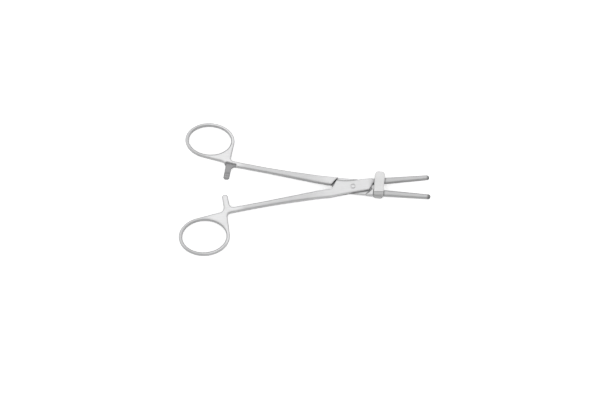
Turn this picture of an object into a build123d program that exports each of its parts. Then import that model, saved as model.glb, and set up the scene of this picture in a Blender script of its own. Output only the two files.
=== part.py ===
from build123d import *
import os
from math import acos, atan2, cos, degrees, hypot, radians, sin, tan

# Tubing clamp: a pair of box-lock forceps with finger rings, a ratchet, plain jaws and a guard strap.
# All sizes are millimetres and degrees. The pin's axis is Z, and Z = 0 is the underside of the box lock.
# +X runs from the pin to the jaw tips. Each half is drawn closed, with its jaw face on the X axis, which
# is the closing line, and is then turned about the pin to the opening at rest.

# Opening at rest: each half is turned this far from closed.
rest_turn = 5.5

# Box lock, seen from the side.
box_thickness = 5.8
slot_height = 2.2
tongue_side_gap = 0.05
pin_diameter = 2.6
pin_running_gap = 0.03

# Box lock, seen from above: slanted edges, given by where they cross the closing line and by their slope.
plate_rear_reach = 13.65
plate_rear_slope = 54.7
plate_front_reach = 12.15
plate_front_slope = 50.0
slot_rear_setback = 0.2
slot_rear_slope = 52.7
slot_front_setback = 0.3
slot_front_slope = 63.0
shoulder_gap = 0.15
shoulder_wedge = 3.6

# Box plates, measured across from the closing line: ring side and jaw side.
plate_waist = 3.75
plate_waist_reach = 1.0
plate_shoulder_reach = 5.5
plate_low_front = 3.05
plate_low_middle = 3.55
plate_low_inset = 2.0

# Tongue that turns in the box, as wide as the shank on the ring side.
tongue_jaw_side = 4.45

# Jaws.
box_tip_reach = 48.5
tongue_tip_reach = 49.2
jaw_root_width = 4.35
jaw_tip_width = 3.1
jaw_thickness = 3.2
jaw_face_gap = 0.05
grip_reach = 24.0
grip_relief = 0.3
jaw_round = 1.3
tip_flat = 0.2
tip_inner_margin = 0.05
box_jaw_setback = 0.45
box_jaw_ramp = 2.6
tongue_jaw_setback = 0.85

# Shanks: each section's gap to the closing line, width, thickness and edge rounding, and its place as
# a share of the way from the lock to the web.
shank_box_setback = 2.85
shank_box_gap = 0.15
shank_box_width = 4.9
shank_neck_share = 0.119
shank_neck_gap = 0.55
shank_neck_width = 4.75
shank_neck_thickness = 5.2
shank_middle_share = 0.356
shank_middle_gap = 1.95
shank_middle_width = 4.15
shank_middle_thickness = 4.6
shank_slim_share = 0.61
shank_slim_gap = 3.6
shank_slim_width = 3.6
shank_ring_share = 0.84
shank_ring_gap = 4.95
shank_ring_width = 3.6
shank_ring_slope = 5.4
box_round = 0.35
neck_round = 0.9
shank_round = 1.25

# Finger rings: centre, half sizes of the opening and tilt. The outer side of the web that ties each to
# its shank is set in from the front of the ring. The rim is round outside and bevelled inside, with a
# narrow flat between.
ring_thickness = 4.0
ring_rim = 2.2
ring_rim_flat = 0.15
box_ring_reach = 96.05
box_ring_offset = 22.45
box_ring_half_length = 13.9
box_ring_half_width = 10.05
box_ring_tilt = 3.1
box_web_inset = 0.55
tongue_ring_reach = 92.85
tongue_ring_offset = 21.1
tongue_ring_half_length = 13.4
tongue_ring_half_width = 9.1
tongue_ring_tilt = 1.6
tongue_web_inset = 1.55
web_inner_offset = 7.7
web_inner_round = 3.2
web_outer_round = 2.0

# Ratchet bars, which pass one over the other as the clamp closes, set back from the webs.
box_bar_setback = 0.3
tongue_bar_setback = 1.2
bar_width = 3.8
bar_lean = 5.5
bar_overlap = 2.8
bar_tip_margin = 0.2
bar_root_round = 2.6
ratchet_gap = 0.1
ratchet_teeth = 3
tooth_pitch = 1.4
tooth_depth = 0.55
tooth_start = 0.6
recess_top = 8.0
recess_back = 0.5
recess_front = 2.8

# Guard strap, bent round the jaw of the tongue half.
guard_clearance = 0.1
guard_width = 6.3
guard_inset = 0.1
guard_leg_reach = 11.4
guard_back_gap = 0.15
guard_bend_round = 2.7
guard_leg_round = 2.0
guard_back_round = 2.2
guard_edge_chamfer = 0.2
guard_seat_inset = 1.4

mid_height = box_thickness / 2
tongue_thickness = slot_height - 2 * tongue_side_gap
slot_rear_reach = plate_rear_reach + slot_rear_setback
slot_front_reach = plate_front_reach + slot_front_setback
shank_box_reach = plate_rear_reach + shank_box_setback
lock_ring_side = shank_box_gap + shank_box_width
box_jaw_step = plate_front_reach + box_jaw_setback
tongue_jaw_step = plate_front_reach + tongue_jaw_setback
tip_inner_round = jaw_round + tip_inner_margin
tip_outer_round = jaw_tip_width - tip_inner_round - tip_flat
ring_opening_chamfer = ring_rim - shank_round - ring_rim_flat
box_web_reach = box_ring_reach - box_ring_half_length - ring_rim + box_web_inset
tongue_web_reach = tongue_ring_reach - tongue_ring_half_length - ring_rim + tongue_web_inset
box_bar_reach = box_web_reach + box_bar_setback
tongue_bar_reach = tongue_web_reach + tongue_bar_setback
bar_tip_round = shank_round + bar_tip_margin
guard_start = tongue_jaw_step + guard_clearance
guard_opening = jaw_thickness + 2 * guard_clearance
guard_wall = (box_thickness - guard_opening) / 2 - guard_inset
guard_back = jaw_root_width + guard_back_gap
cut_margin = 8.0
same_place = 0.001


def on_slant(reach, slope, offset):
    """Point of a slanted edge at one offset from the closing line, which the edge crosses at reach."""
    return (reach + offset / tan(radians(slope)), offset)


def moved_aside(reach, slope, gap):
    """Where an edge crosses the closing line once it is moved sideways by gap."""
    return reach + gap / sin(radians(slope))


def crossing(point_a, angle_a, point_b, angle_b):
    """Point where a line through point_a meets a line through point_b."""
    across = point_b[0] - point_a[0]
    up = point_b[1] - point_a[1]
    a, b = radians(angle_a), radians(angle_b)
    along = (across * sin(b) - up * cos(b)) / sin(b - a)
    return (point_a[0] + along * cos(a), point_a[1] + along * sin(a))


def is_over(edge, point):
    """True for an edge whose middle lies straight above or below a point of the plan."""
    return hypot(edge.center().X - point[0], edge.center().Y - point[1]) < same_place


def level_edges(solid, *joined_ends):
    """Edges of the upper and lower faces, apart from those over the middles of the joined ends."""
    faces = solid.faces().filter_by(Axis.Z).sort_by(Axis.Z)
    return [edge for face in (faces[0], faces[-1]) for edge in face.edges()
            if not any(is_over(edge, end) for end in joined_ends)]


def shank_reach(share, web_reach):
    """Reach of a section of the shank, at a share of the way from the lock to the web."""
    return shank_box_reach + share * (web_reach - shank_box_reach)


def shank(web_reach):
    """Bowed shank between the ring's web and the box lock, lofted through rounded sections."""
    sections = [
        (shank_ring_share, shank_ring_gap, shank_ring_width, ring_thickness, shank_round, shank_ring_slope),
        (shank_slim_share, shank_slim_gap, shank_slim_width, ring_thickness, shank_round, shank_ring_slope),
        (shank_middle_share, shank_middle_gap, shank_middle_width, shank_middle_thickness, shank_round, 0),
        (shank_neck_share, shank_neck_gap, shank_neck_width, shank_neck_thickness, neck_round, 0),
        (0, shank_box_gap, shank_box_width, box_thickness, box_round, 0),
    ]
    return loft([
        Pos(-shank_reach(share, web_reach), gap + width / 2, mid_height) * Rot(0, 0, -slope)
        * (Plane.YZ * RectangleRounded(width, thickness, rounding))
        for share, gap, width, thickness, rounding, slope in sections
    ], ruled=True)


def ring_tangent(point, centre, half_length, half_width, tilt, side):
    """Angle on the ring's outline where a line from point just touches it, on one side or the other."""
    lean = radians(tilt)
    dx, dy = point[0] - centre[0], point[1] - centre[1]
    along = (dx * cos(lean) + dy * sin(lean)) / half_length
    across = (dy * cos(lean) - dx * sin(lean)) / half_width
    return degrees(atan2(across, along) + side * acos(1 / hypot(along, across)))


def ring_point(angle, centre, half_length, half_width, tilt):
    """Point of the ring's outline at an angle of its ellipse."""
    lean = radians(tilt)
    along = half_length * cos(radians(angle))
    across = half_width * sin(radians(angle))
    return (
        centre[0] + along * cos(lean) - across * sin(lean),
        centre[1] + along * sin(lean) + across * cos(lean),
    )


def ring_end(centre, half_length, half_width, tilt, web_reach, bar_reach):
    """Finger ring, web, ratchet bar and the first of the shank, as one flat forging with round edges."""
    outer = (half_length + ring_rim, half_width + ring_rim)
    bar_angle = 90 - bar_lean
    bar_half = bar_width / 2 / cos(radians(bar_lean))
    shank_angle = 180 - shank_ring_slope
    shank_end = (-shank_reach(shank_ring_share, web_reach), shank_ring_gap + shank_ring_width / 2)
    shank_side = Vector(shank_ring_width / 2, 0, 0).rotate(Axis.Z, 90 - shank_ring_slope)
    shank_inner = (shank_end[0] - shank_side.X, shank_end[1] - shank_side.Y)
    shank_outer = (shank_end[0] + shank_side.X, shank_end[1] + shank_side.Y)
    web_inner = crossing((-bar_reach - bar_half, 0), bar_angle, (0, web_inner_offset), 0)
    web_outer = crossing(shank_outer, shank_angle, (-web_reach, 0), 90)
    bar_root = crossing((-bar_reach + bar_half, 0), bar_angle, shank_inner, shank_angle)
    tip_back = crossing((-bar_reach - bar_half, 0), bar_angle, (0, -bar_overlap), 0)
    tip_front = crossing((-bar_reach + bar_half, 0), bar_angle, (0, -bar_overlap), 0)
    inner_touch = ring_tangent(web_inner, centre, *outer, tilt, -1)
    outer_touch = ring_tangent(web_outer, centre, *outer, tilt, 1)
    outline = FilletPolyline(
        ring_point(inner_touch, centre, *outer, tilt), web_inner, tip_back, tip_front, bar_root,
        shank_inner, shank_outer, web_outer, ring_point(outer_touch, centre, *outer, tilt),
        radius=[web_inner_round, bar_tip_round, bar_tip_round, bar_root_round, 0, 0, web_outer_round],
    )
    rim_sweep = (inner_touch - outer_touch) % 360
    rim = EllipticalCenterArc(centre, *outer, outer_touch, arc_size=rim_sweep, rotation=tilt)
    opening = Pos(*centre) * Rot(0, 0, tilt) * Ellipse(half_length, half_width)
    plan = make_face([*outline.edges(), *rim.edges()]) - opening
    blank = Pos(0, 0, mid_height - ring_thickness / 2) * extrude(plan, amount=ring_thickness)
    blank = chamfer([edge for edge in level_edges(blank) if edge.is_closed], ring_opening_chamfer)
    return fillet([edge for edge in level_edges(blank, shank_end) if not edge.is_closed], shank_round)


def ratchet_cut(bar_reach):
    """What is milled off the upper half of a bar: all above its middle, and the gullets between teeth."""
    face_height = mid_height - ratchet_gap / 2
    back = -bar_width / 2 - recess_back
    front = bar_width / 2 + recess_front
    clear = Pos((back + front) / 2, (recess_top - cut_margin) / 2, face_height + cut_margin / 2) * Box(
        front - back, recess_top + cut_margin, cut_margin)
    first = -bar_overlap + tooth_start
    gullets = [
        Plane(origin=(0, first + tooth * tooth_pitch, face_height), x_dir=(0, 1, 0), z_dir=(1, 0, 0))
        * Polygon((0, 0), (0, -tooth_depth), (tooth_pitch, 0), align=None)
        for tooth in range(ratchet_teeth)
    ]
    teeth = [extrude(gullet, amount=bar_width, both=True) for gullet in gullets]
    return Pos(-bar_reach, 0, 0) * Rot(0, 0, -bar_lean) * (clear + teeth)


def jaw(start, tip):
    """Plain jaw on the +Y side of the closing line, slimmer towards its rounded tip."""
    face = jaw_face_gap / 2
    outline = FilletPolyline(
        (start, face + grip_relief), (grip_reach, face), (tip, face),
        (tip, jaw_tip_width), (start, jaw_root_width),
        radius=[0, 0, tip_inner_round, tip_outer_round, 0], close=True,
    )
    blank = Pos(0, 0, mid_height - jaw_thickness / 2) * extrude(make_face(outline), amount=jaw_thickness)
    root_middle = (start, (face + grip_relief + jaw_root_width) / 2)
    return fillet(level_edges(blank, root_middle), jaw_round)


def lock_blank(plan, *joined_ends):
    """Full-thickness block of the lock with softened edges, apart from those at its joined ends."""
    blank = extrude(plan, amount=box_thickness)
    return fillet(level_edges(blank, *joined_ends), box_round)


def lock_layer(rear, front, low, high):
    """Solid between two slanted edges, each a (reach, slope), and between two heights."""
    corners = [on_slant(*rear, cut_margin), on_slant(*front, cut_margin),
               on_slant(*front, -cut_margin), on_slant(*rear, -cut_margin)]
    return Pos(0, 0, low) * extrude(make_face(Polyline(*corners, close=True)), amount=high - low)


def box_lock():
    """Box: two plates with a slanted slot between them, drawn closed with its jaw on the +Y side."""
    rear, front = (-plate_rear_reach, plate_rear_slope), (plate_front_reach, plate_front_slope)
    shank_outer = (-shank_box_reach, -lock_ring_side)
    jaw_face = jaw_face_gap / 2 + grip_relief
    shoulder = (plate_shoulder_reach, jaw_root_width)
    waist = ThreePointArc(on_slant(*rear, lock_ring_side), (-plate_waist_reach, plate_waist), shoulder)
    outline = Polyline(
        shoulder, (box_jaw_step, jaw_root_width), (box_jaw_step, jaw_face),
        on_slant(*front, jaw_face), on_slant(*front, -plate_low_front), (0, -plate_low_middle),
        (plate_low_inset - shank_box_reach, -lock_ring_side), shank_outer,
        (-shank_box_reach, -shank_box_gap), on_slant(*rear, -shank_box_gap),
        on_slant(*rear, lock_ring_side))
    plan = make_face([waist, *outline.edges()])
    shank_middle = (-shank_box_reach, -shank_box_gap - shank_box_width / 2)
    jaw_middle = (box_jaw_step, (jaw_face + jaw_root_width) / 2)
    block = lock_blank(plan, shank_middle, jaw_middle)
    for height, towards in ((0, 1), (box_thickness, -1)):
        ramp_rise = (box_thickness - jaw_thickness) / 2 * towards
        ramp = Plane.XZ * Polygon(
            (box_jaw_step - box_jaw_ramp, height), (box_jaw_step, height),
            (box_jaw_step, height + ramp_rise), align=None)
        block -= extrude(ramp, amount=cut_margin, both=True)
    return block


def tongue_lock():
    """Tongue with its two full-thickness ends, drawn closed with its jaw on the -Y side.

    The gap to the front of the plates widens from the jaw's outer side to the closing line.
    """
    shoulder_rear = (moved_aside(-plate_rear_reach, plate_rear_slope, -shoulder_gap), plate_rear_slope)
    front_reach = moved_aside(plate_front_reach, plate_front_slope, shoulder_gap)
    front_foot = on_slant(front_reach, plate_front_slope, -tongue_jaw_side)
    front_slope = plate_front_slope - shoulder_wedge
    shoulder_front = (front_foot[0] + tongue_jaw_side / tan(radians(front_slope)), front_slope)
    wall_rear = (moved_aside(-slot_rear_reach, slot_rear_slope, shoulder_gap), 180 - slot_rear_slope)
    wall_front = (moved_aside(slot_front_reach, slot_front_slope, -shoulder_gap), 180 - slot_front_slope)
    jaw_face = -jaw_face_gap / 2 - grip_relief
    plan = make_face(Polyline(
        (-shank_box_reach, shank_box_gap), (-shank_box_reach, lock_ring_side),
        on_slant(*wall_front, lock_ring_side), on_slant(*wall_front, jaw_face),
        (tongue_jaw_step, jaw_face), (tongue_jaw_step, -jaw_root_width),
        on_slant(*shoulder_front, -tongue_jaw_side), on_slant(*wall_rear, -tongue_jaw_side),
        on_slant(*wall_rear, shank_box_gap), close=True))
    block = lock_blank(plan, (-shank_box_reach, (shank_box_gap + lock_ring_side) / 2))
    low = mid_height - tongue_thickness / 2
    high = mid_height + tongue_thickness / 2
    block -= lock_layer(shoulder_rear, shoulder_front, -cut_margin, low)
    return block - lock_layer(shoulder_rear, shoulder_front, high, high + cut_margin)


def pin_bore(radius):
    """Cylinder on the pin's axis that runs right through the lock."""
    return Pos(0, 0, mid_height) * Cylinder(radius, box_thickness)


def box_half():
    """Half that carries the box: its ring lies on the -Y side and its jaw on the +Y side."""
    handle = shank(box_web_reach) + ring_end(
        (-box_ring_reach, box_ring_offset), box_ring_half_length, box_ring_half_width,
        box_ring_tilt, box_web_reach, box_bar_reach)
    handle = mirror(handle - ratchet_cut(box_bar_reach), about=Plane.XZ)
    handle = Pos(0, 0, mid_height) * mirror(Pos(0, 0, -mid_height) * handle, about=Plane.XY)
    slot = lock_layer(
        (-slot_rear_reach, 180 - slot_rear_slope), (slot_front_reach, 180 - slot_front_slope),
        mid_height - slot_height / 2, mid_height + slot_height / 2)
    half = handle + box_lock() + jaw(box_jaw_step, box_tip_reach) - slot
    return half - pin_bore(pin_diameter / 2)


def tongue_half():
    """Half that carries the tongue: its ring lies on the +Y side and its jaw on the -Y side."""
    handle = shank(tongue_web_reach) + ring_end(
        (-tongue_ring_reach, tongue_ring_offset), tongue_ring_half_length, tongue_ring_half_width,
        tongue_ring_tilt, tongue_web_reach, tongue_bar_reach)
    seat_back = guard_back - (guard_bend_round - guard_wall)
    seat = Pos(guard_start + guard_width / 2, -(seat_back + guard_seat_inset) / 2, mid_height) * Box(
        guard_width, seat_back - guard_seat_inset, guard_opening)
    half = handle - ratchet_cut(tongue_bar_reach) + tongue_lock()
    half = half + mirror(jaw(tongue_jaw_step, tongue_tip_reach), about=Plane.XZ) + seat
    return half - pin_bore(pin_diameter / 2 + pin_running_gap)


def guard_outline(back_round, leg_round):
    """Solid with the strap's outline seen from above, to trim the corners of its back and its legs."""
    back = guard_back + guard_wall
    plan = make_face(FilletPolyline(
        (0, -back), (guard_width, -back), (guard_width, guard_leg_reach), (0, guard_leg_reach),
        radius=[back_round, back_round, leg_round, leg_round], close=True))
    return extrude(plan, amount=box_thickness, both=True)


def tubing_guard():
    """U-shaped strap round the jaw of the tongue half, with two legs that cover the gap of the jaws."""
    height = guard_opening + 2 * guard_wall
    back = guard_back + guard_wall
    end = guard_leg_reach
    section = make_face(FilletPolyline(
        (end, height / 2), (-back, height / 2), (-back, -height / 2), (end, -height / 2),
        (end, -guard_opening / 2), (-guard_back, -guard_opening / 2),
        (-guard_back, guard_opening / 2), (end, guard_opening / 2),
        radius=[0, guard_bend_round, guard_bend_round, 0, 0,
                guard_bend_round - guard_wall, guard_bend_round - guard_wall, 0], close=True))
    strap = extrude(Plane.YZ * section, amount=guard_width) & guard_outline(0, guard_leg_round)
    long_edges = [edge for edge in strap.edges().filter_by(Axis.Y)
                  if abs(abs(edge.center().Z) - height / 2) < same_place]
    strap = chamfer(long_edges, guard_edge_chamfer) & guard_outline(guard_back_round, 0)
    return Pos(guard_start, 0, mid_height) * strap


os.makedirs("parts", exist_ok=True)
to_box_rest = Rot(0, 0, rest_turn)
to_tongue_rest = Rot(0, 0, -rest_turn)
export_step(to_box_rest * box_half(), "parts/box_half.step")
export_step(to_tongue_rest * tongue_half(), "parts/tongue_half.step")
export_step(pin_bore(pin_diameter / 2), "parts/pivot_pin.step")
export_step(to_tongue_rest * tubing_guard(), "parts/tubing_guard.step")
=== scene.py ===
import math

import bpy
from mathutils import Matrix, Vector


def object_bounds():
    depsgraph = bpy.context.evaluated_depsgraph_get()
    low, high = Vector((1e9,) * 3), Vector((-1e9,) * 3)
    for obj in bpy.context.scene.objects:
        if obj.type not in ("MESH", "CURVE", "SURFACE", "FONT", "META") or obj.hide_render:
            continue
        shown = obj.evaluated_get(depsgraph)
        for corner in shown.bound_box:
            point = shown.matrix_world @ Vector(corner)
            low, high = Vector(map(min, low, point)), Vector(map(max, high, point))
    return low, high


bl_info = {
    "name": "Tubing clamp finish",
    "version": (1, 0, 0),
    "blender": (4, 5, 0),
    "location": "3D View > Sidebar > Clamp",
    "description": "Satin steel finishes and a plain studio for a ring-handled tubing clamp",
    "category": "Material",
}

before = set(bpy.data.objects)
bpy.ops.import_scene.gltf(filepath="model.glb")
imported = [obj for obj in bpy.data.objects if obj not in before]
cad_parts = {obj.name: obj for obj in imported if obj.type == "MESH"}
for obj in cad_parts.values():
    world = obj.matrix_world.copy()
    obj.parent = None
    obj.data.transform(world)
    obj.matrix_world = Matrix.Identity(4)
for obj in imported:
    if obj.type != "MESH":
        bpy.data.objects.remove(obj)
cad_low, cad_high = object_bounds()

FORGINGS = ("box_half", "tongue_half")
PIN = "pivot_pin"
GUARD = "tubing_guard"

# Brushed grain: size of the fine beads under the lines, and their height set against the lines.
BEAD_SIZE = 0.0003125
BEAD_HEIGHT = 0.35

# Handling marks: size of the patches, spacing of the hairlines, their lean in radians, how far they
# are drawn out, their width set against their spacing, and the patch levels where they fade in.
PATCH_SIZE = 0.008
SCRATCH_SPACING = 0.005
SCRATCH_LEAN = 0.6
SCRATCH_DRAW = 0.22
SCRATCH_WIDTH = 0.012
SCRATCH_FADE = (0.52, 0.6)

# Edge wear: how soon the polish is full as an edge turns.
WEAR_GAIN = 6.0
WEAR_SAMPLES = 6
SOFT_EDGE_SAMPLES = 8

# Painted shade in crevices: how open to its surroundings the steel is where a gap and an inner
# corner count as shut, and where both count as open, and how far an inner corner reaches.
GAP_SHUT = 0.6
CORNER_SHUT = 0.77
FULLY_OPEN = 0.97
CORNER_REACH = 0.0035
CREVICE_SAMPLES = 8

# Which way the steel faces, from 0 on an upright side to 1 on a flat: where the painted side shade
# is full, where a flat has none of it, and the least on the milled ratchet faces.
SIDE_FACING = 0.68
FLAT_FACING = 0.995
MILLED_FACING = 0.35

# Distances over which the painted shade and highlight change, and how far the milled faces reach
# from the middle height.
JAW_FADE = 0.008
TIP_FADE = 0.0015
GAP_FADE = 0.005
RING_FADE = 0.018
WEB_FADE = 0.0085
SEAT_FADE = 0.0004
RATCHET_DEPTH = 0.0007

# Share of the guard's painted shade that is lost past its bend, and share of the painted crevice
# shade that is lost behind the lock.
SEAT_RELIEF = 0.45
REAR_RELIEF = 0.85

# Steel: colour of the dull lines and of polished edges set against the plain colour, dulling by the
# patches, and what each mark adds to or takes off the roughness and the height.
DULL_SHARE = 0.74
BRIGHT_SHARE = 1.08
PATCH_DULLING = 0.35
LINE_ROUGHNESS = 0.12
PATCH_ROUGHNESS = 0.1
SCRATCH_POLISH = 0.08
WEAR_POLISH = 0.08
PIN_POLISH = 0.06
SCRATCH_DEPTH = 0.8
BUMP_STRENGTH = 0.5

# Studio: sizes, places as across from the middle of the view and height, leans from level, and the
# nearest and farthest that the camera sees.
TABLE_GAP = 0.00005
CARD_SIZE = (2.6, 1.2)
CARD_PLACE = (-0.75, 0.75)
CARD_LEAN = math.radians(45.0)
CARD_ROUGHNESS = 0.9
SOFTBOX_SIZE = (1.4, 1.0)
SOFTBOX_PLACE = (0.25, 1.9)
SOFTBOX_LEAN = math.radians(-7.0)
SENSOR_WIDTH = 36.0
NEAREST = 0.01
FARTHEST = 20.0
WHITE = (1.0, 1.0, 1.0, 1.0)


class ClampFinish(bpy.types.PropertyGroup):
    """Colours, painted shade and highlight, and surface detail of the steel."""

    forging_color: bpy.props.FloatVectorProperty(
        name="Forging colour", description="Satin steel of the two forgings and the pin",
        default=(0.845, 0.845, 0.85), size=3, min=0.0, max=1.0, subtype="COLOR")
    forging_roughness: bpy.props.FloatProperty(
        name="Forging roughness", description="Roughness of the satin forgings",
        default=0.34, min=0.05, max=1.0, subtype="FACTOR")
    guard_color: bpy.props.FloatVectorProperty(
        name="Guard colour", description="Matte steel of the guard strap",
        default=(0.88, 0.88, 0.88), size=3, min=0.0, max=1.0, subtype="COLOR")
    guard_roughness: bpy.props.FloatProperty(
        name="Guard roughness", description="Roughness of the guard strap",
        default=0.46, min=0.05, max=1.0, subtype="FACTOR")
    # Painted shade: a darker steel colour put on the upright sides and steep rounds, by which way
    # they face.
    side_shade_color: bpy.props.FloatVectorProperty(
        name="Side shade colour",
        description="Duller steel of the sides, which the satin wheel hardly reaches",
        default=(0.64, 0.64, 0.645), size=3, min=0.0, max=1.0, subtype="COLOR")
    # Colour of the milled ratchet faces: partly bare milled steel, partly painted shade for their
    # tilted teeth.
    milled_and_shade_color: bpy.props.FloatVectorProperty(
        name="Milled and shaded ratchet colour", description="Bare milled steel of the ratchet faces",
        default=(0.36, 0.36, 0.365), size=3, min=0.0, max=1.0, subtype="COLOR")
    # Painted shade: the colour put into narrow gaps and inside the box lock where shade falls.
    crevice_shade_color: bpy.props.FloatVectorProperty(
        name="Crevice shade colour", description="Steel darkened in narrow gaps and inside the box lock",
        default=(0.2, 0.2, 0.202), size=3, min=0.0, max=1.0, subtype="COLOR")
    crevice_reach: bpy.props.FloatProperty(
        name="Crevice reach", description="How far from a narrow gap the steel is darker",
        default=0.0014, min=0.0001, max=0.005, unit="LENGTH")
    grain_pitch: bpy.props.FloatProperty(
        name="Grain pitch", description="Width of one line of the brushed grain",
        default=0.00045, min=0.00002, max=0.002, unit="LENGTH")
    grain_depth: bpy.props.FloatProperty(
        name="Grain depth", description="Height of the brushed grain",
        default=0.000012, min=0.0, max=0.0005, unit="LENGTH")
    wear_width: bpy.props.FloatProperty(
        name="Wear width", description="How far the polish of worn edges reaches",
        default=0.0004, min=0.00005, max=0.002, unit="LENGTH")
    edge_softness: bpy.props.FloatProperty(
        name="Edge softness",
        description="How far the polishing wheel rounds the flats off towards their edges",
        default=0.0016, min=0.0001, max=0.005, unit="LENGTH")
    # Painted shade: the jaws are made darker than the lock.
    jaw_shade_tone: bpy.props.FloatProperty(
        name="Jaw shade tone",
        description="Brightness of the jaws in front of the guard, set against the lock",
        default=0.76, min=0.0, max=1.2, subtype="FACTOR")
    # Where the painted shade on the jaws begins.
    jaw_shade_start: bpy.props.FloatProperty(
        name="Jaw start",
        description="Place along the clamp beyond which the steel of the jaws is duller",
        default=0.014, min=0.0, max=0.1, unit="LENGTH")
    # Painted shade: the jaw tips are made darker, as the shade on their rounded ends.
    tip_shade_tone: bpy.props.FloatProperty(
        name="Tip shade tone", description="Brightness of the worn jaw tips, set against the lock",
        default=0.3, min=0.0, max=1.2, subtype="FACTOR")
    # Where the painted shade on the jaw tips begins.
    tip_shade_start: bpy.props.FloatProperty(
        name="Tip start",
        description="Place along the clamp beyond which the jaw tips are worn dull",
        default=0.0461, min=0.0, max=0.1, unit="LENGTH")
    # Painted shade: the shanks and rings are made a little darker than the lock.
    ring_shade_tone: bpy.props.FloatProperty(
        name="Ring shade tone", description="Brightness of the shanks and rings, set against the lock",
        default=0.87, min=0.0, max=1.2, subtype="FACTOR")
    # Where the painted shade of the shanks and rings begins.
    ring_start: bpy.props.FloatProperty(
        name="Ring start",
        description="Place along the clamp behind which the steel takes on the tone of the rings",
        default=-0.012, min=-0.2, max=0.0, unit="LENGTH")
    # Behind this place most of the painted crevice shade is taken off.
    lock_rear: bpy.props.FloatProperty(
        name="Lock rear",
        description="Place along the clamp behind which narrow gaps darken the steel little",
        default=-0.0155, min=-0.1, max=0.0, unit="LENGTH")
    # Painted highlight: the broad webs beside the rings are made brighter than the lock.
    web_highlight_tone: bpy.props.FloatProperty(
        name="Web highlight tone",
        description="Brightness of the broad webs beside the rings, set against the lock",
        default=1.08, min=0.0, max=1.2, subtype="FACTOR")
    web_front: bpy.props.FloatProperty(
        name="Web front", description="Place along the clamp where the webs begin",
        default=-0.066, min=-0.2, max=0.0, unit="LENGTH")
    web_rear: bpy.props.FloatProperty(
        name="Web rear", description="Place along the clamp where the webs end",
        default=-0.096, min=-0.2, max=0.0, unit="LENGTH")
    ratchet_start: bpy.props.FloatProperty(
        name="Ratchet start",
        description="Place along the clamp behind which the milled ratchet faces lie",
        default=-0.0715, min=-0.2, max=0.0, unit="LENGTH")
    # Painted shade on the guard's bend, where the strap curves round the jaw.
    seat_shade_tone: bpy.props.FloatProperty(
        name="Seat shade tone",
        description="Brightness of the guard's bend at its seat, dulled by the heat of brazing",
        default=0.46, min=0.0, max=1.2, subtype="FACTOR")
    # Where the painted shade on the guard begins.
    seat_shade_start: bpy.props.FloatProperty(
        name="Seat start",
        description="Place across the clamp where the guard starts to dull towards its seat",
        default=-0.0028, min=-0.02, max=0.02, unit="LENGTH")


class ClampStudio(bpy.types.PropertyGroup):
    """Camera, table and light."""

    view_centre: bpy.props.FloatVectorProperty(
        name="View centre", description="Point that the camera looks at, at half the lock's height",
        default=(-0.02898, -0.01008, 0.0029), size=3, unit="LENGTH", subtype="TRANSLATION")
    view_tilt: bpy.props.FloatProperty(
        name="View tilt",
        description="How far the camera leans from straight overhead towards the near side",
        default=math.radians(10.0), min=0.0, max=math.radians(80.0), subtype="ANGLE")
    view_width: bpy.props.FloatProperty(
        name="View width", description="Width of the table that the camera takes in",
        default=0.3868, min=0.05, max=2.0, unit="LENGTH")
    lens: bpy.props.FloatProperty(
        name="Lens", description="Focal length of the camera in millimetres",
        default=120.0, min=20.0, max=300.0, unit="CAMERA")
    floor_color: bpy.props.FloatVectorProperty(
        name="Table colour", description="Colour of the table",
        default=(0.92, 0.92, 0.92), size=3, min=0.0, max=1.0, subtype="COLOR")
    floor_glow: bpy.props.FloatProperty(
        name="Table whiteness", description="Brightness added to the table in view",
        default=0.5, min=0.0, max=1.0, subtype="FACTOR")
    floor_mirror: bpy.props.FloatProperty(
        name="Table in mirrors",
        description="Brightness added to the table where the steel mirrors it",
        default=0.08, min=0.0, max=1.0, subtype="FACTOR")
    floor_size: bpy.props.FloatProperty(
        name="Table size", description="Length and width of the table",
        default=4.0, min=0.5, max=20.0, unit="LENGTH")
    room_level: bpy.props.FloatProperty(
        name="Room light", description="Brightness of the light that comes from all round",
        default=0.92, min=0.0, max=2.0, subtype="FACTOR")
    softbox_level: bpy.props.FloatProperty(
        name="Softbox power", description="Power of the softbox over the table in watts",
        default=0.4, min=0.0, max=100.0, unit="POWER")
    card_color: bpy.props.FloatVectorProperty(
        name="Card colour",
        description="Colour of the dark card that shades the near side of the steel",
        default=(0.55, 0.55, 0.55), size=3, min=0.0, max=1.0, subtype="COLOR")


def add_node(tree, kind, inputs=None, **settings):
    """Adds a node, sets its options, then fills its inputs with numbers or links."""
    node = tree.nodes.new(kind)
    for name, value in settings.items():
        setattr(node, name, value)
    for name, value in (inputs or {}).items():
        if isinstance(value, bpy.types.NodeSocket):
            tree.links.new(value, node.inputs[name])
        else:
            node.inputs[name].default_value = value
    return node


def math_node(tree, operation, *values, clamp=False):
    """Result of one sum on numbers or sockets."""
    return add_node(tree, "ShaderNodeMath", dict(enumerate(values)), operation=operation,
                    use_clamp=clamp).outputs[0]


def product(tree, first, second):
    """Product of two numbers or sockets."""
    return math_node(tree, "MULTIPLY", first, second)


def between(tree, share, first, second):
    """Number between two numbers."""
    return add_node(tree, "ShaderNodeMix", {0: share, 2: first, 3: second},
                    data_type="FLOAT").outputs[0]


def mixed(tree, share, first, second):
    """Colour between two colours."""
    return add_node(tree, "ShaderNodeMix", {0: share, 6: first, 7: second},
                    data_type="RGBA").outputs[2]


def toned(tree, color, tone):
    """Colour made brighter or darker."""
    return add_node(tree, "ShaderNodeVectorMath", {0: color, "Scale": tone},
                    operation="SCALE").outputs[0]


def opaque(color, share=1.0):
    """Colour made brighter or darker, but no brighter than white, with its alpha."""
    return (*(min(1.0, share * part) for part in color), 1.0)


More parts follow.
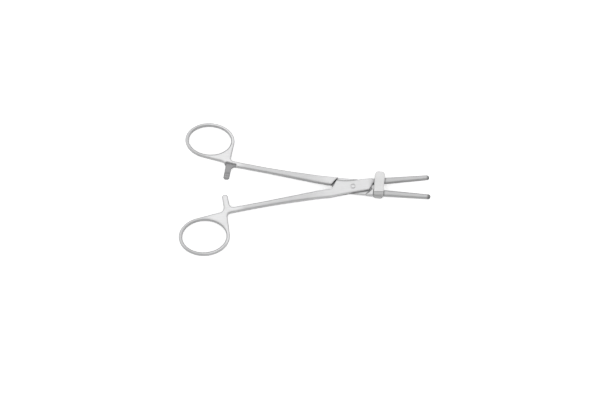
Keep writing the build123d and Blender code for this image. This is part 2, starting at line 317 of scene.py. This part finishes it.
def ramp(tree, value, start, end):
    """Smooth mask that goes from nought at one value to one at another, above or below it."""
    rising = start < end
    return add_node(tree, "ShaderNodeMapRange", {
        "Value": value, "From Min": min(start, end), "From Max": max(start, end),
        "To Min": 0.0 if rising else 1.0, "To Max": 1.0 if rising else 0.0},
        interpolation_type="SMOOTHSTEP").outputs[0]


def band(tree, value, low, high, at_low, at_high):
    """Straight change from one level to another, over a band of a value."""
    return add_node(tree, "ShaderNodeMapRange", {
        "Value": value, "From Min": low, "From Max": high,
        "To Min": at_low, "To Max": at_high}).outputs[0]


def split(tree, vector):
    """The three parts of a vector."""
    return tuple(add_node(tree, "ShaderNodeSeparateXYZ", {0: vector}).outputs)


def own_place(tree):
    """Place on the clamp, which stays with the piece as it turns."""
    return add_node(tree, "ShaderNodeTexCoord").outputs["Object"]


def new_group(name, inputs, outputs, output_kind="NodeSocketFloat"):
    """Empty shader node group with its named inputs and outputs."""
    group = bpy.data.node_groups.new(name, "ShaderNodeTree")
    for label in inputs:
        group.interface.new_socket(label, in_out="INPUT", socket_type="NodeSocketFloat")
    for label in outputs:
        group.interface.new_socket(label, in_out="OUTPUT", socket_type=output_kind)
    given = group.nodes.new("NodeGroupInput")
    result = group.nodes.new("NodeGroupOutput")
    return group, given.outputs, result.inputs


def brushed_grain(name):
    """Fine lines along the clamp, as left by a satin wheel, and their height."""
    group, given, result = new_group(name, ("Pitch", "Stretch"), ("Lines", "Height"))
    where = own_place(group)
    along, across, up = split(group, where)
    stretched = add_node(group, "ShaderNodeCombineXYZ", {
        0: math_node(group, "DIVIDE", along, product(group, given["Pitch"], given["Stretch"])),
        1: math_node(group, "DIVIDE", across, given["Pitch"]),
        2: math_node(group, "DIVIDE", up, given["Pitch"])}).outputs[0]
    lines = add_node(group, "ShaderNodeTexNoise", {
        "Vector": stretched, "Scale": 1.0, "Detail": 3.0, "Roughness": 0.6}).outputs["Fac"]
    beads = add_node(group, "ShaderNodeTexNoise", {
        "Vector": where, "Scale": 1.0 / BEAD_SIZE, "Detail": 1.0, "Roughness": 0.5}).outputs["Fac"]
    height = math_node(group, "MULTIPLY_ADD", beads, BEAD_HEIGHT, lines)
    group.links.new(lines, result["Lines"])
    group.links.new(height, result["Height"])
    return group


def handling_marks(name):
    """Faint cloudy patches from wiping and washing, and sparse hairline scratches."""
    group, given, result = new_group(
        name, ("Patch size", "Scratch spacing"), ("Patches", "Scratches"))
    where = own_place(group)
    patches = add_node(group, "ShaderNodeTexNoise", {
        "Vector": where, "Scale": math_node(group, "DIVIDE", 1.0, given["Patch size"]),
        "Detail": 4.0, "Roughness": 0.55}).outputs["Fac"]
    turned = add_node(group, "ShaderNodeMapping", {
        "Vector": where, "Rotation": (0.0, 0.0, SCRATCH_LEAN),
        "Scale": (SCRATCH_DRAW, 1.0, 1.0)}).outputs[0]
    cells = add_node(group, "ShaderNodeTexVoronoi", {
        "Vector": turned, "Scale": math_node(group, "DIVIDE", 1.0, given["Scratch spacing"])},
        feature="DISTANCE_TO_EDGE").outputs["Distance"]
    hairlines = band(group, cells, 0.0, SCRATCH_WIDTH, 1.0, 0.0)
    broken = band(group, patches, *SCRATCH_FADE, 0.0, 1.0)
    group.links.new(patches, result["Patches"])
    group.links.new(product(group, hairlines, broken), result["Scratches"])
    return group


def edge_wear(name):
    """Mask of the edges that handling and wiping polish brighter."""
    group, given, result = new_group(name, ("Width", "Strength"), ("Mask",))
    rounded = add_node(group, "ShaderNodeBevel", {"Radius": given["Width"]},
                       samples=WEAR_SAMPLES).outputs[0]
    true_normal = add_node(group, "ShaderNodeNewGeometry").outputs["Normal"]
    alike = add_node(group, "ShaderNodeVectorMath", {0: rounded, 1: true_normal},
                     operation="DOT_PRODUCT").outputs["Value"]
    apart = math_node(group, "SUBTRACT", 1.0, alike)
    spread = math_node(group, "MULTIPLY", apart, WEAR_GAIN, clamp=True)
    group.links.new(product(group, spread, given["Strength"]), result["Mask"])
    return group


def soft_edges(name):
    """Normal of flats that the polishing wheel has rounded off towards their edges."""
    group, given, result = new_group(name, ("Reach",), ("Normal",), "NodeSocketVector")
    rounded = add_node(group, "ShaderNodeBevel", {"Radius": given["Reach"]},
                       samples=SOFT_EDGE_SAMPLES).outputs[0]
    group.links.new(rounded, result["Normal"])
    return group


def crevice_shade(name):
    """Masks of painted shade in the narrow gaps and in the inner corners."""
    group, given, result = new_group(name, ("Reach", "Corner reach"), ("Mask", "Inner corner"))
    for label, reach, shut, own_faces_only in (
            ("Mask", "Reach", GAP_SHUT, False),
            ("Inner corner", "Corner reach", CORNER_SHUT, True)):
        open_share = add_node(group, "ShaderNodeAmbientOcclusion", {"Distance": given[reach]},
                              samples=CREVICE_SAMPLES, only_local=own_faces_only).outputs["AO"]
        group.links.new(band(group, open_share, shut, FULLY_OPEN, 1.0, 0.0), result[label])
    return group


def side_shade_mask(name):
    """Mask of the painted shade on the upright sides, and how level each surface lies."""
    group, given, result = new_group(name, ("Strength",), ("Mask", "Level"))
    facing = add_node(group, "ShaderNodeTexCoord").outputs["Normal"]
    level = math_node(group, "ABSOLUTE", split(group, facing)[2])
    side = ramp(group, level, FLAT_FACING, SIDE_FACING)
    group.links.new(product(group, side, given["Strength"]), result["Mask"])
    group.links.new(level, result["Level"])
    return group


def forging_light_zones(name):
    """Painted shade and highlight of a forging by place, and masks of its milled ratchet, open
    length and recess.
    """
    finish = bpy.context.scene.clamp_finish
    group, given, result = new_group(
        name, ("Level", "Jaw shade tone", "Tip shade tone", "Ring shade tone", "Web highlight tone"),
        ("Tone", "Web brightening", "Ratchet", "Open length", "Recess"))
    along, across, up = split(group, own_place(group))

    # Painted shade on the jaws, tips, shanks and rings, and painted highlight on the webs.
    jaw = ramp(group, along, finish.jaw_shade_start, finish.jaw_shade_start + JAW_FADE)
    tip = ramp(group, along, finish.tip_shade_start, finish.tip_shade_start + TIP_FADE)
    ring = ramp(group, along, finish.ring_start, finish.ring_start - RING_FADE)
    tone = between(group, jaw, 1.0, given["Jaw shade tone"])
    tone = between(group, tip, tone, given["Tip shade tone"])
    tone = between(group, ring, tone, given["Ring shade tone"])
    web = product(group, ramp(group, along, finish.web_front, finish.web_front - WEB_FADE),
                  ramp(group, along, finish.web_rear, finish.web_rear + WEB_FADE))
    web_share = math_node(group, "DIVIDE", given["Web highlight tone"], given["Ring shade tone"])

    ring_end = math_node(group, "LESS_THAN", along, finish.ratchet_start)
    height = math_node(group, "SUBTRACT", up, (cad_low.z + cad_high.z) / 2)
    near_middle = math_node(
        group, "LESS_THAN", math_node(group, "ABSOLUTE", height), RATCHET_DEPTH)
    level_enough = math_node(group, "GREATER_THAN", given["Level"], MILLED_FACING)
    milled = product(group, level_enough, near_middle)
    cut_away = math_node(group, "GREATER_THAN", product(group, height, across), 0.0)

    group.links.new(tone, result["Tone"])
    # Painted highlight on the webs.
    group.links.new(between(group, web, 1.0, web_share), result["Web brightening"])
    group.links.new(product(group, ring_end, milled), result["Ratchet"])
    group.links.new(ramp(group, along, finish.lock_rear, finish.lock_rear - GAP_FADE),
                    result["Open length"])
    group.links.new(product(group, ring_end, cut_away), result["Recess"])
    return group


GROUPS = {
    "Brushed grain": brushed_grain,
    "Handling marks": handling_marks,
    "Edge wear": edge_wear,
    "Soft edges": soft_edges,
    "Crevice shade": crevice_shade,
    "Painted side shade": side_shade_mask,
    "Forging painted light": forging_light_zones,
}


def place_group(tree, name, values):
    """Outputs of a shared node group, which is built when it is first placed."""
    group = bpy.data.node_groups.get(name) or GROUPS[name](name)
    return add_node(tree, "ShaderNodeGroup", values, node_tree=group).outputs


def guard_bend_shade(tree, finish):
    """Painted shade on the guard, darkest along its bend and a little lighter past it towards its
    seat.
    """
    across = split(tree, own_place(tree))[1]
    bend = finish.seat_shade_start - SEAT_FADE
    seat = ramp(tree, across, finish.seat_shade_start, bend)
    past = ramp(tree, across, bend, bend - 2 * SEAT_FADE)
    shade_share = product(tree, seat, math_node(tree, "MULTIPLY_ADD", past, -SEAT_RELIEF, 1.0))
    return between(tree, shade_share, 1.0, finish.seat_shade_tone)


def new_material(name):
    """Material with an empty node tree."""
    material = bpy.data.materials.new(name)
    material.use_nodes = True
    material.node_tree.nodes.clear()
    return material


def steel(name, color, roughness, lines, stretch, wear, sides, kind="plain"):
    """Satin stainless steel with grain, patches, hairlines and polished edges, and painted shade on
    its sides and in its crevices.
    """
    finish = bpy.context.scene.clamp_finish
    material = new_material(name)
    tree = material.node_tree

    grain = place_group(tree, "Brushed grain", {"Pitch": finish.grain_pitch, "Stretch": stretch})
    marks = place_group(tree, "Handling marks", {
        "Patch size": PATCH_SIZE, "Scratch spacing": SCRATCH_SPACING})
    worn = place_group(tree, "Edge wear", {"Width": finish.wear_width, "Strength": wear})["Mask"]
    crevice = place_group(tree, "Crevice shade", {
        "Reach": finish.crevice_reach, "Corner reach": CORNER_REACH})
    side = place_group(tree, "Painted side shade", {"Strength": sides})
    gap_shade, upright = crevice["Mask"], side["Mask"]

    patches = product(tree, marks["Patches"], PATCH_DULLING)
    dulling = math_node(tree, "MULTIPLY_ADD", grain["Lines"], lines, patches, clamp=True)
    surface = mixed(tree, dulling, opaque(color), opaque(color, DULL_SHARE))
    if kind == "forging":
        zones = place_group(tree, "Forging painted light", {
            "Level": side["Level"], "Jaw shade tone": finish.jaw_shade_tone, "Tip shade tone": finish.tip_shade_tone,
            "Ring shade tone": finish.ring_shade_tone, "Web highlight tone": finish.web_highlight_tone})
        surface = toned(tree, surface, zones["Web brightening"])
        # Less painted crevice shade behind the lock.
        gap_shade = product(tree, gap_shade, math_node(
            tree, "MULTIPLY_ADD", zones["Open length"], -REAR_RELIEF, 1.0))
        # Less painted side shade in the inner corners of the ratchet recess.
        corner = product(tree, zones["Recess"], crevice["Inner corner"])
        upright = math_node(tree, "SUBTRACT", upright, corner, clamp=True)
    # Painted shade: the side shade colour on the upright faces.
    surface = mixed(tree, upright, surface, opaque(finish.side_shade_color))
    if kind == "forging":
        # Painted shade and highlight by place along the clamp.
        surface = toned(tree, surface, zones["Tone"])
        # Milled ratchet colour, partly bare milled steel and partly painted shade.
        surface = mixed(tree, zones["Ratchet"], surface, opaque(finish.milled_and_shade_color))
    elif kind == "guard":
        # Painted shade on the guard's bend.
        surface = toned(tree, surface, guard_bend_shade(tree, finish))
    surface = mixed(tree, worn, surface, opaque(color, BRIGHT_SHARE))
    # Painted shade in the narrow gaps and inner corners.
    surface = mixed(tree, gap_shade, surface, opaque(finish.crevice_shade_color))

    rough = math_node(tree, "MULTIPLY_ADD", grain["Lines"], LINE_ROUGHNESS,
                      roughness - LINE_ROUGHNESS / 2)
    rough = math_node(tree, "MULTIPLY_ADD", marks["Patches"], PATCH_ROUGHNESS, rough)
    rough = math_node(tree, "MULTIPLY_ADD", marks["Scratches"], -SCRATCH_POLISH, rough)
    rough = math_node(tree, "MULTIPLY_ADD", worn, -WEAR_POLISH, rough, clamp=True)

    height = math_node(tree, "MULTIPLY_ADD", marks["Scratches"], -SCRATCH_DEPTH, grain["Height"])
    softened = place_group(tree, "Soft edges", {"Reach": finish.edge_softness})["Normal"]
    bump = add_node(tree, "ShaderNodeBump", {
        "Strength": BUMP_STRENGTH, "Distance": finish.grain_depth, "Height": height,
        "Normal": softened}).outputs[0]
    shader = add_node(tree, "ShaderNodeBsdfPrincipled", {
        "Base Color": surface, "Roughness": rough, "Metallic": 1.0, "Normal": bump})
    add_node(tree, "ShaderNodeOutputMaterial", {"Surface": shader.outputs[0]})
    return material


def dress(node_name, material):
    """Puts one material on a node of the frame, whose shape stays as it is."""
    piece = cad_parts[node_name]
    if not piece.material_slots:
        piece.data.materials.append(material)
    for place in piece.material_slots:
        place.material = material


class CLAMP_OT_forgings(bpy.types.Operator):
    """Finish the two forgings in satin steel with its grain along the clamp."""

    bl_idname = "clamp.forgings"
    bl_label = "Finish the forgings"

    def execute(self, context):
        finish = context.scene.clamp_finish
        for node_name in FORGINGS:
            dress(node_name, steel(
                "satin_steel_" + node_name, finish.forging_color, finish.forging_roughness,
                lines=0.5, stretch=14.0, wear=0.3, sides=1.0, kind="forging"))
        return {"FINISHED"}


class CLAMP_OT_pin(bpy.types.Operator):
    """Finish the ground ends of the pivot pin."""

    bl_idname = "clamp.pin"
    bl_label = "Finish the pivot pin"

    def execute(self, context):
        finish = context.scene.clamp_finish
        dress(PIN, steel(
            "satin_steel_pin", finish.forging_color, finish.forging_roughness - PIN_POLISH,
            lines=0.4, stretch=6.0, wear=0.2, sides=1.0))
        return {"FINISHED"}


class CLAMP_OT_guard(bpy.types.Operator):
    """Finish the guard strap in a matte steel, a little lighter than the forgings."""

    bl_idname = "clamp.guard"
    bl_label = "Finish the guard"

    def execute(self, context):
        finish = context.scene.clamp_finish
        dress(GUARD, steel(
            "guard_steel", finish.guard_color, finish.guard_roughness,
            lines=0.3, stretch=5.0, wear=0.3, sides=0.3, kind="guard"))
        return {"FINISHED"}


def ray_levels(tree, seen, mirrored):
    """One level for rays from the camera, one for those sent on by gloss or glass, else nought."""
    path = add_node(tree, "ShaderNodeLightPath").outputs
    sent_on = math_node(tree, "ADD", path["Is Glossy Ray"], path["Is Transmission Ray"],
                        clamp=True)
    return math_node(tree, "MULTIPLY_ADD", path["Is Camera Ray"], seen,
                     product(tree, sent_on, mirrored))


def table_material(studio):
    """Matte pale table that shows as white and keeps the shadow."""
    material = new_material("white_table")
    tree = material.node_tree
    matte = add_node(tree, "ShaderNodeBsdfDiffuse", {"Color": opaque(studio.floor_color)})
    glow = add_node(tree, "ShaderNodeEmission", {
        "Color": WHITE, "Strength": ray_levels(tree, studio.floor_glow, studio.floor_mirror)})
    both = add_node(tree, "ShaderNodeAddShader", {0: matte.outputs[0], 1: glow.outputs[0]})
    add_node(tree, "ShaderNodeOutputMaterial", {"Surface": both.outputs[0]})
    return material


def card_material(studio):
    """Matte paint of the dark card."""
    material = new_material("dark_card")
    tree = material.node_tree
    paint = add_node(tree, "ShaderNodeBsdfPrincipled", {
        "Base Color": opaque(studio.card_color), "Roughness": CARD_ROUGHNESS})
    add_node(tree, "ShaderNodeOutputMaterial", {"Surface": paint.outputs[0]})
    return material


def flat_panel(name, width, depth, material):
    """Flat rectangle about its own middle, facing up."""
    corners = [(-width / 2, -depth / 2, 0), (width / 2, -depth / 2, 0),
               (width / 2, depth / 2, 0), (-width / 2, depth / 2, 0)]
    mesh = bpy.data.meshes.new(name)
    mesh.from_pydata(corners, [], [(0, 1, 2, 3)])
    mesh.materials.append(material)
    panel = bpy.data.objects.new(name, mesh)
    bpy.context.scene.collection.objects.link(panel)
    return panel


def lay_table(studio):
    """White table just under the clamp."""
    table = flat_panel("table", studio.floor_size, studio.floor_size, table_material(studio))
    table.location = (studio.view_centre[0], studio.view_centre[1], cad_low.z - TABLE_GAP)


def hang_card(studio):
    """Dark card on the near side, which only the steel mirrors."""
    card = flat_panel("dark_card", *CARD_SIZE, card_material(studio))
    across, height = CARD_PLACE
    card.location = (studio.view_centre[0], studio.view_centre[1] + across, height)
    card.rotation_euler = (CARD_LEAN, 0, 0)
    card.visible_camera = False
    card.visible_shadow = False
    card.visible_diffuse = False


def light_room(scene, studio):
    """Even light from all round, behind which the room shows as white."""
    world = bpy.data.worlds.new("white_room")
    scene.world = world
    world.use_nodes = True
    tree = world.node_tree
    tree.nodes.clear()
    spare = 1.0 - studio.room_level
    level = math_node(tree, "ADD", ray_levels(tree, spare, spare), studio.room_level)
    light = add_node(tree, "ShaderNodeBackground", {"Color": WHITE, "Strength": level})
    add_node(tree, "ShaderNodeOutputWorld", {"Surface": light.outputs[0]})


def hang_softbox(scene, studio):
    """Large soft lamp over the table."""
    softbox = bpy.data.lights.new("softbox", "AREA")
    softbox.shape = "RECTANGLE"
    softbox.size, softbox.size_y = SOFTBOX_SIZE
    softbox.energy = studio.softbox_level
    lamp = bpy.data.objects.new("softbox", softbox)
    across, height = SOFTBOX_PLACE
    lamp.location = (studio.view_centre[0], studio.view_centre[1] + across, height)
    lamp.rotation_euler = (SOFTBOX_LEAN, 0, 0)
    scene.collection.objects.link(lamp)


def place_camera(scene, studio):
    """Camera overhead that leans to the near side and takes in the width of the view."""
    view = bpy.data.cameras.new("overhead")
    view.sensor_width = SENSOR_WIDTH
    view.lens = studio.lens
    view.clip_start = NEAREST
    view.clip_end = FARTHEST
    camera = bpy.data.objects.new("overhead", view)
    centre = studio.view_centre
    away = studio.view_width * studio.lens / SENSOR_WIDTH
    camera.location = (centre[0], centre[1] - away * math.sin(studio.view_tilt),
                       centre[2] + away * math.cos(studio.view_tilt))
    camera.rotation_euler = (studio.view_tilt, 0, 0)
    scene.collection.objects.link(camera)
    scene.camera = camera


class CLAMP_OT_studio(bpy.types.Operator):
    """Set up the table, the dark card, the room light, the softbox and the camera."""

    bl_idname = "clamp.studio"
    bl_label = "Set up the studio"

    def execute(self, context):
        scene = context.scene
        studio = scene.clamp_studio
        lay_table(studio)
        hang_card(studio)
        light_room(scene, studio)
        hang_softbox(scene, studio)
        place_camera(scene, studio)
        scene.view_settings.view_transform = "Standard"
        return {"FINISHED"}


class CLAMP_PT_panel(bpy.types.Panel):
    """Buttons and values of the clamp."""

    bl_idname = "CLAMP_PT_panel"
    bl_label = "Tubing clamp"
    bl_space_type = "VIEW_3D"
    bl_region_type = "UI"
    bl_category = "Clamp"

    def draw(self, context):
        for operator in OPERATORS:
            self.layout.operator(operator.bl_idname)
        for values in (context.scene.clamp_finish, context.scene.clamp_studio):
            for name in values.__annotations__:
                self.layout.prop(values, name)


OPERATORS = (CLAMP_OT_forgings, CLAMP_OT_pin, CLAMP_OT_guard, CLAMP_OT_studio)
CLASSES = (ClampFinish, ClampStudio, *OPERATORS, CLAMP_PT_panel)


def register():
    for made in CLASSES:
        bpy.utils.register_class(made)
    bpy.types.Scene.clamp_finish = bpy.props.PointerProperty(type=ClampFinish)
    bpy.types.Scene.clamp_studio = bpy.props.PointerProperty(type=ClampStudio)


def unregister():
    del bpy.types.Scene.clamp_studio
    del bpy.types.Scene.clamp_finish
    for made in reversed(CLASSES):
        bpy.utils.unregister_class(made)


def main():
    register()
    bpy.ops.clamp.forgings()
    bpy.ops.clamp.pin()
    bpy.ops.clamp.guard()
    bpy.ops.clamp.studio()


if __name__ == "__main__":
    main()
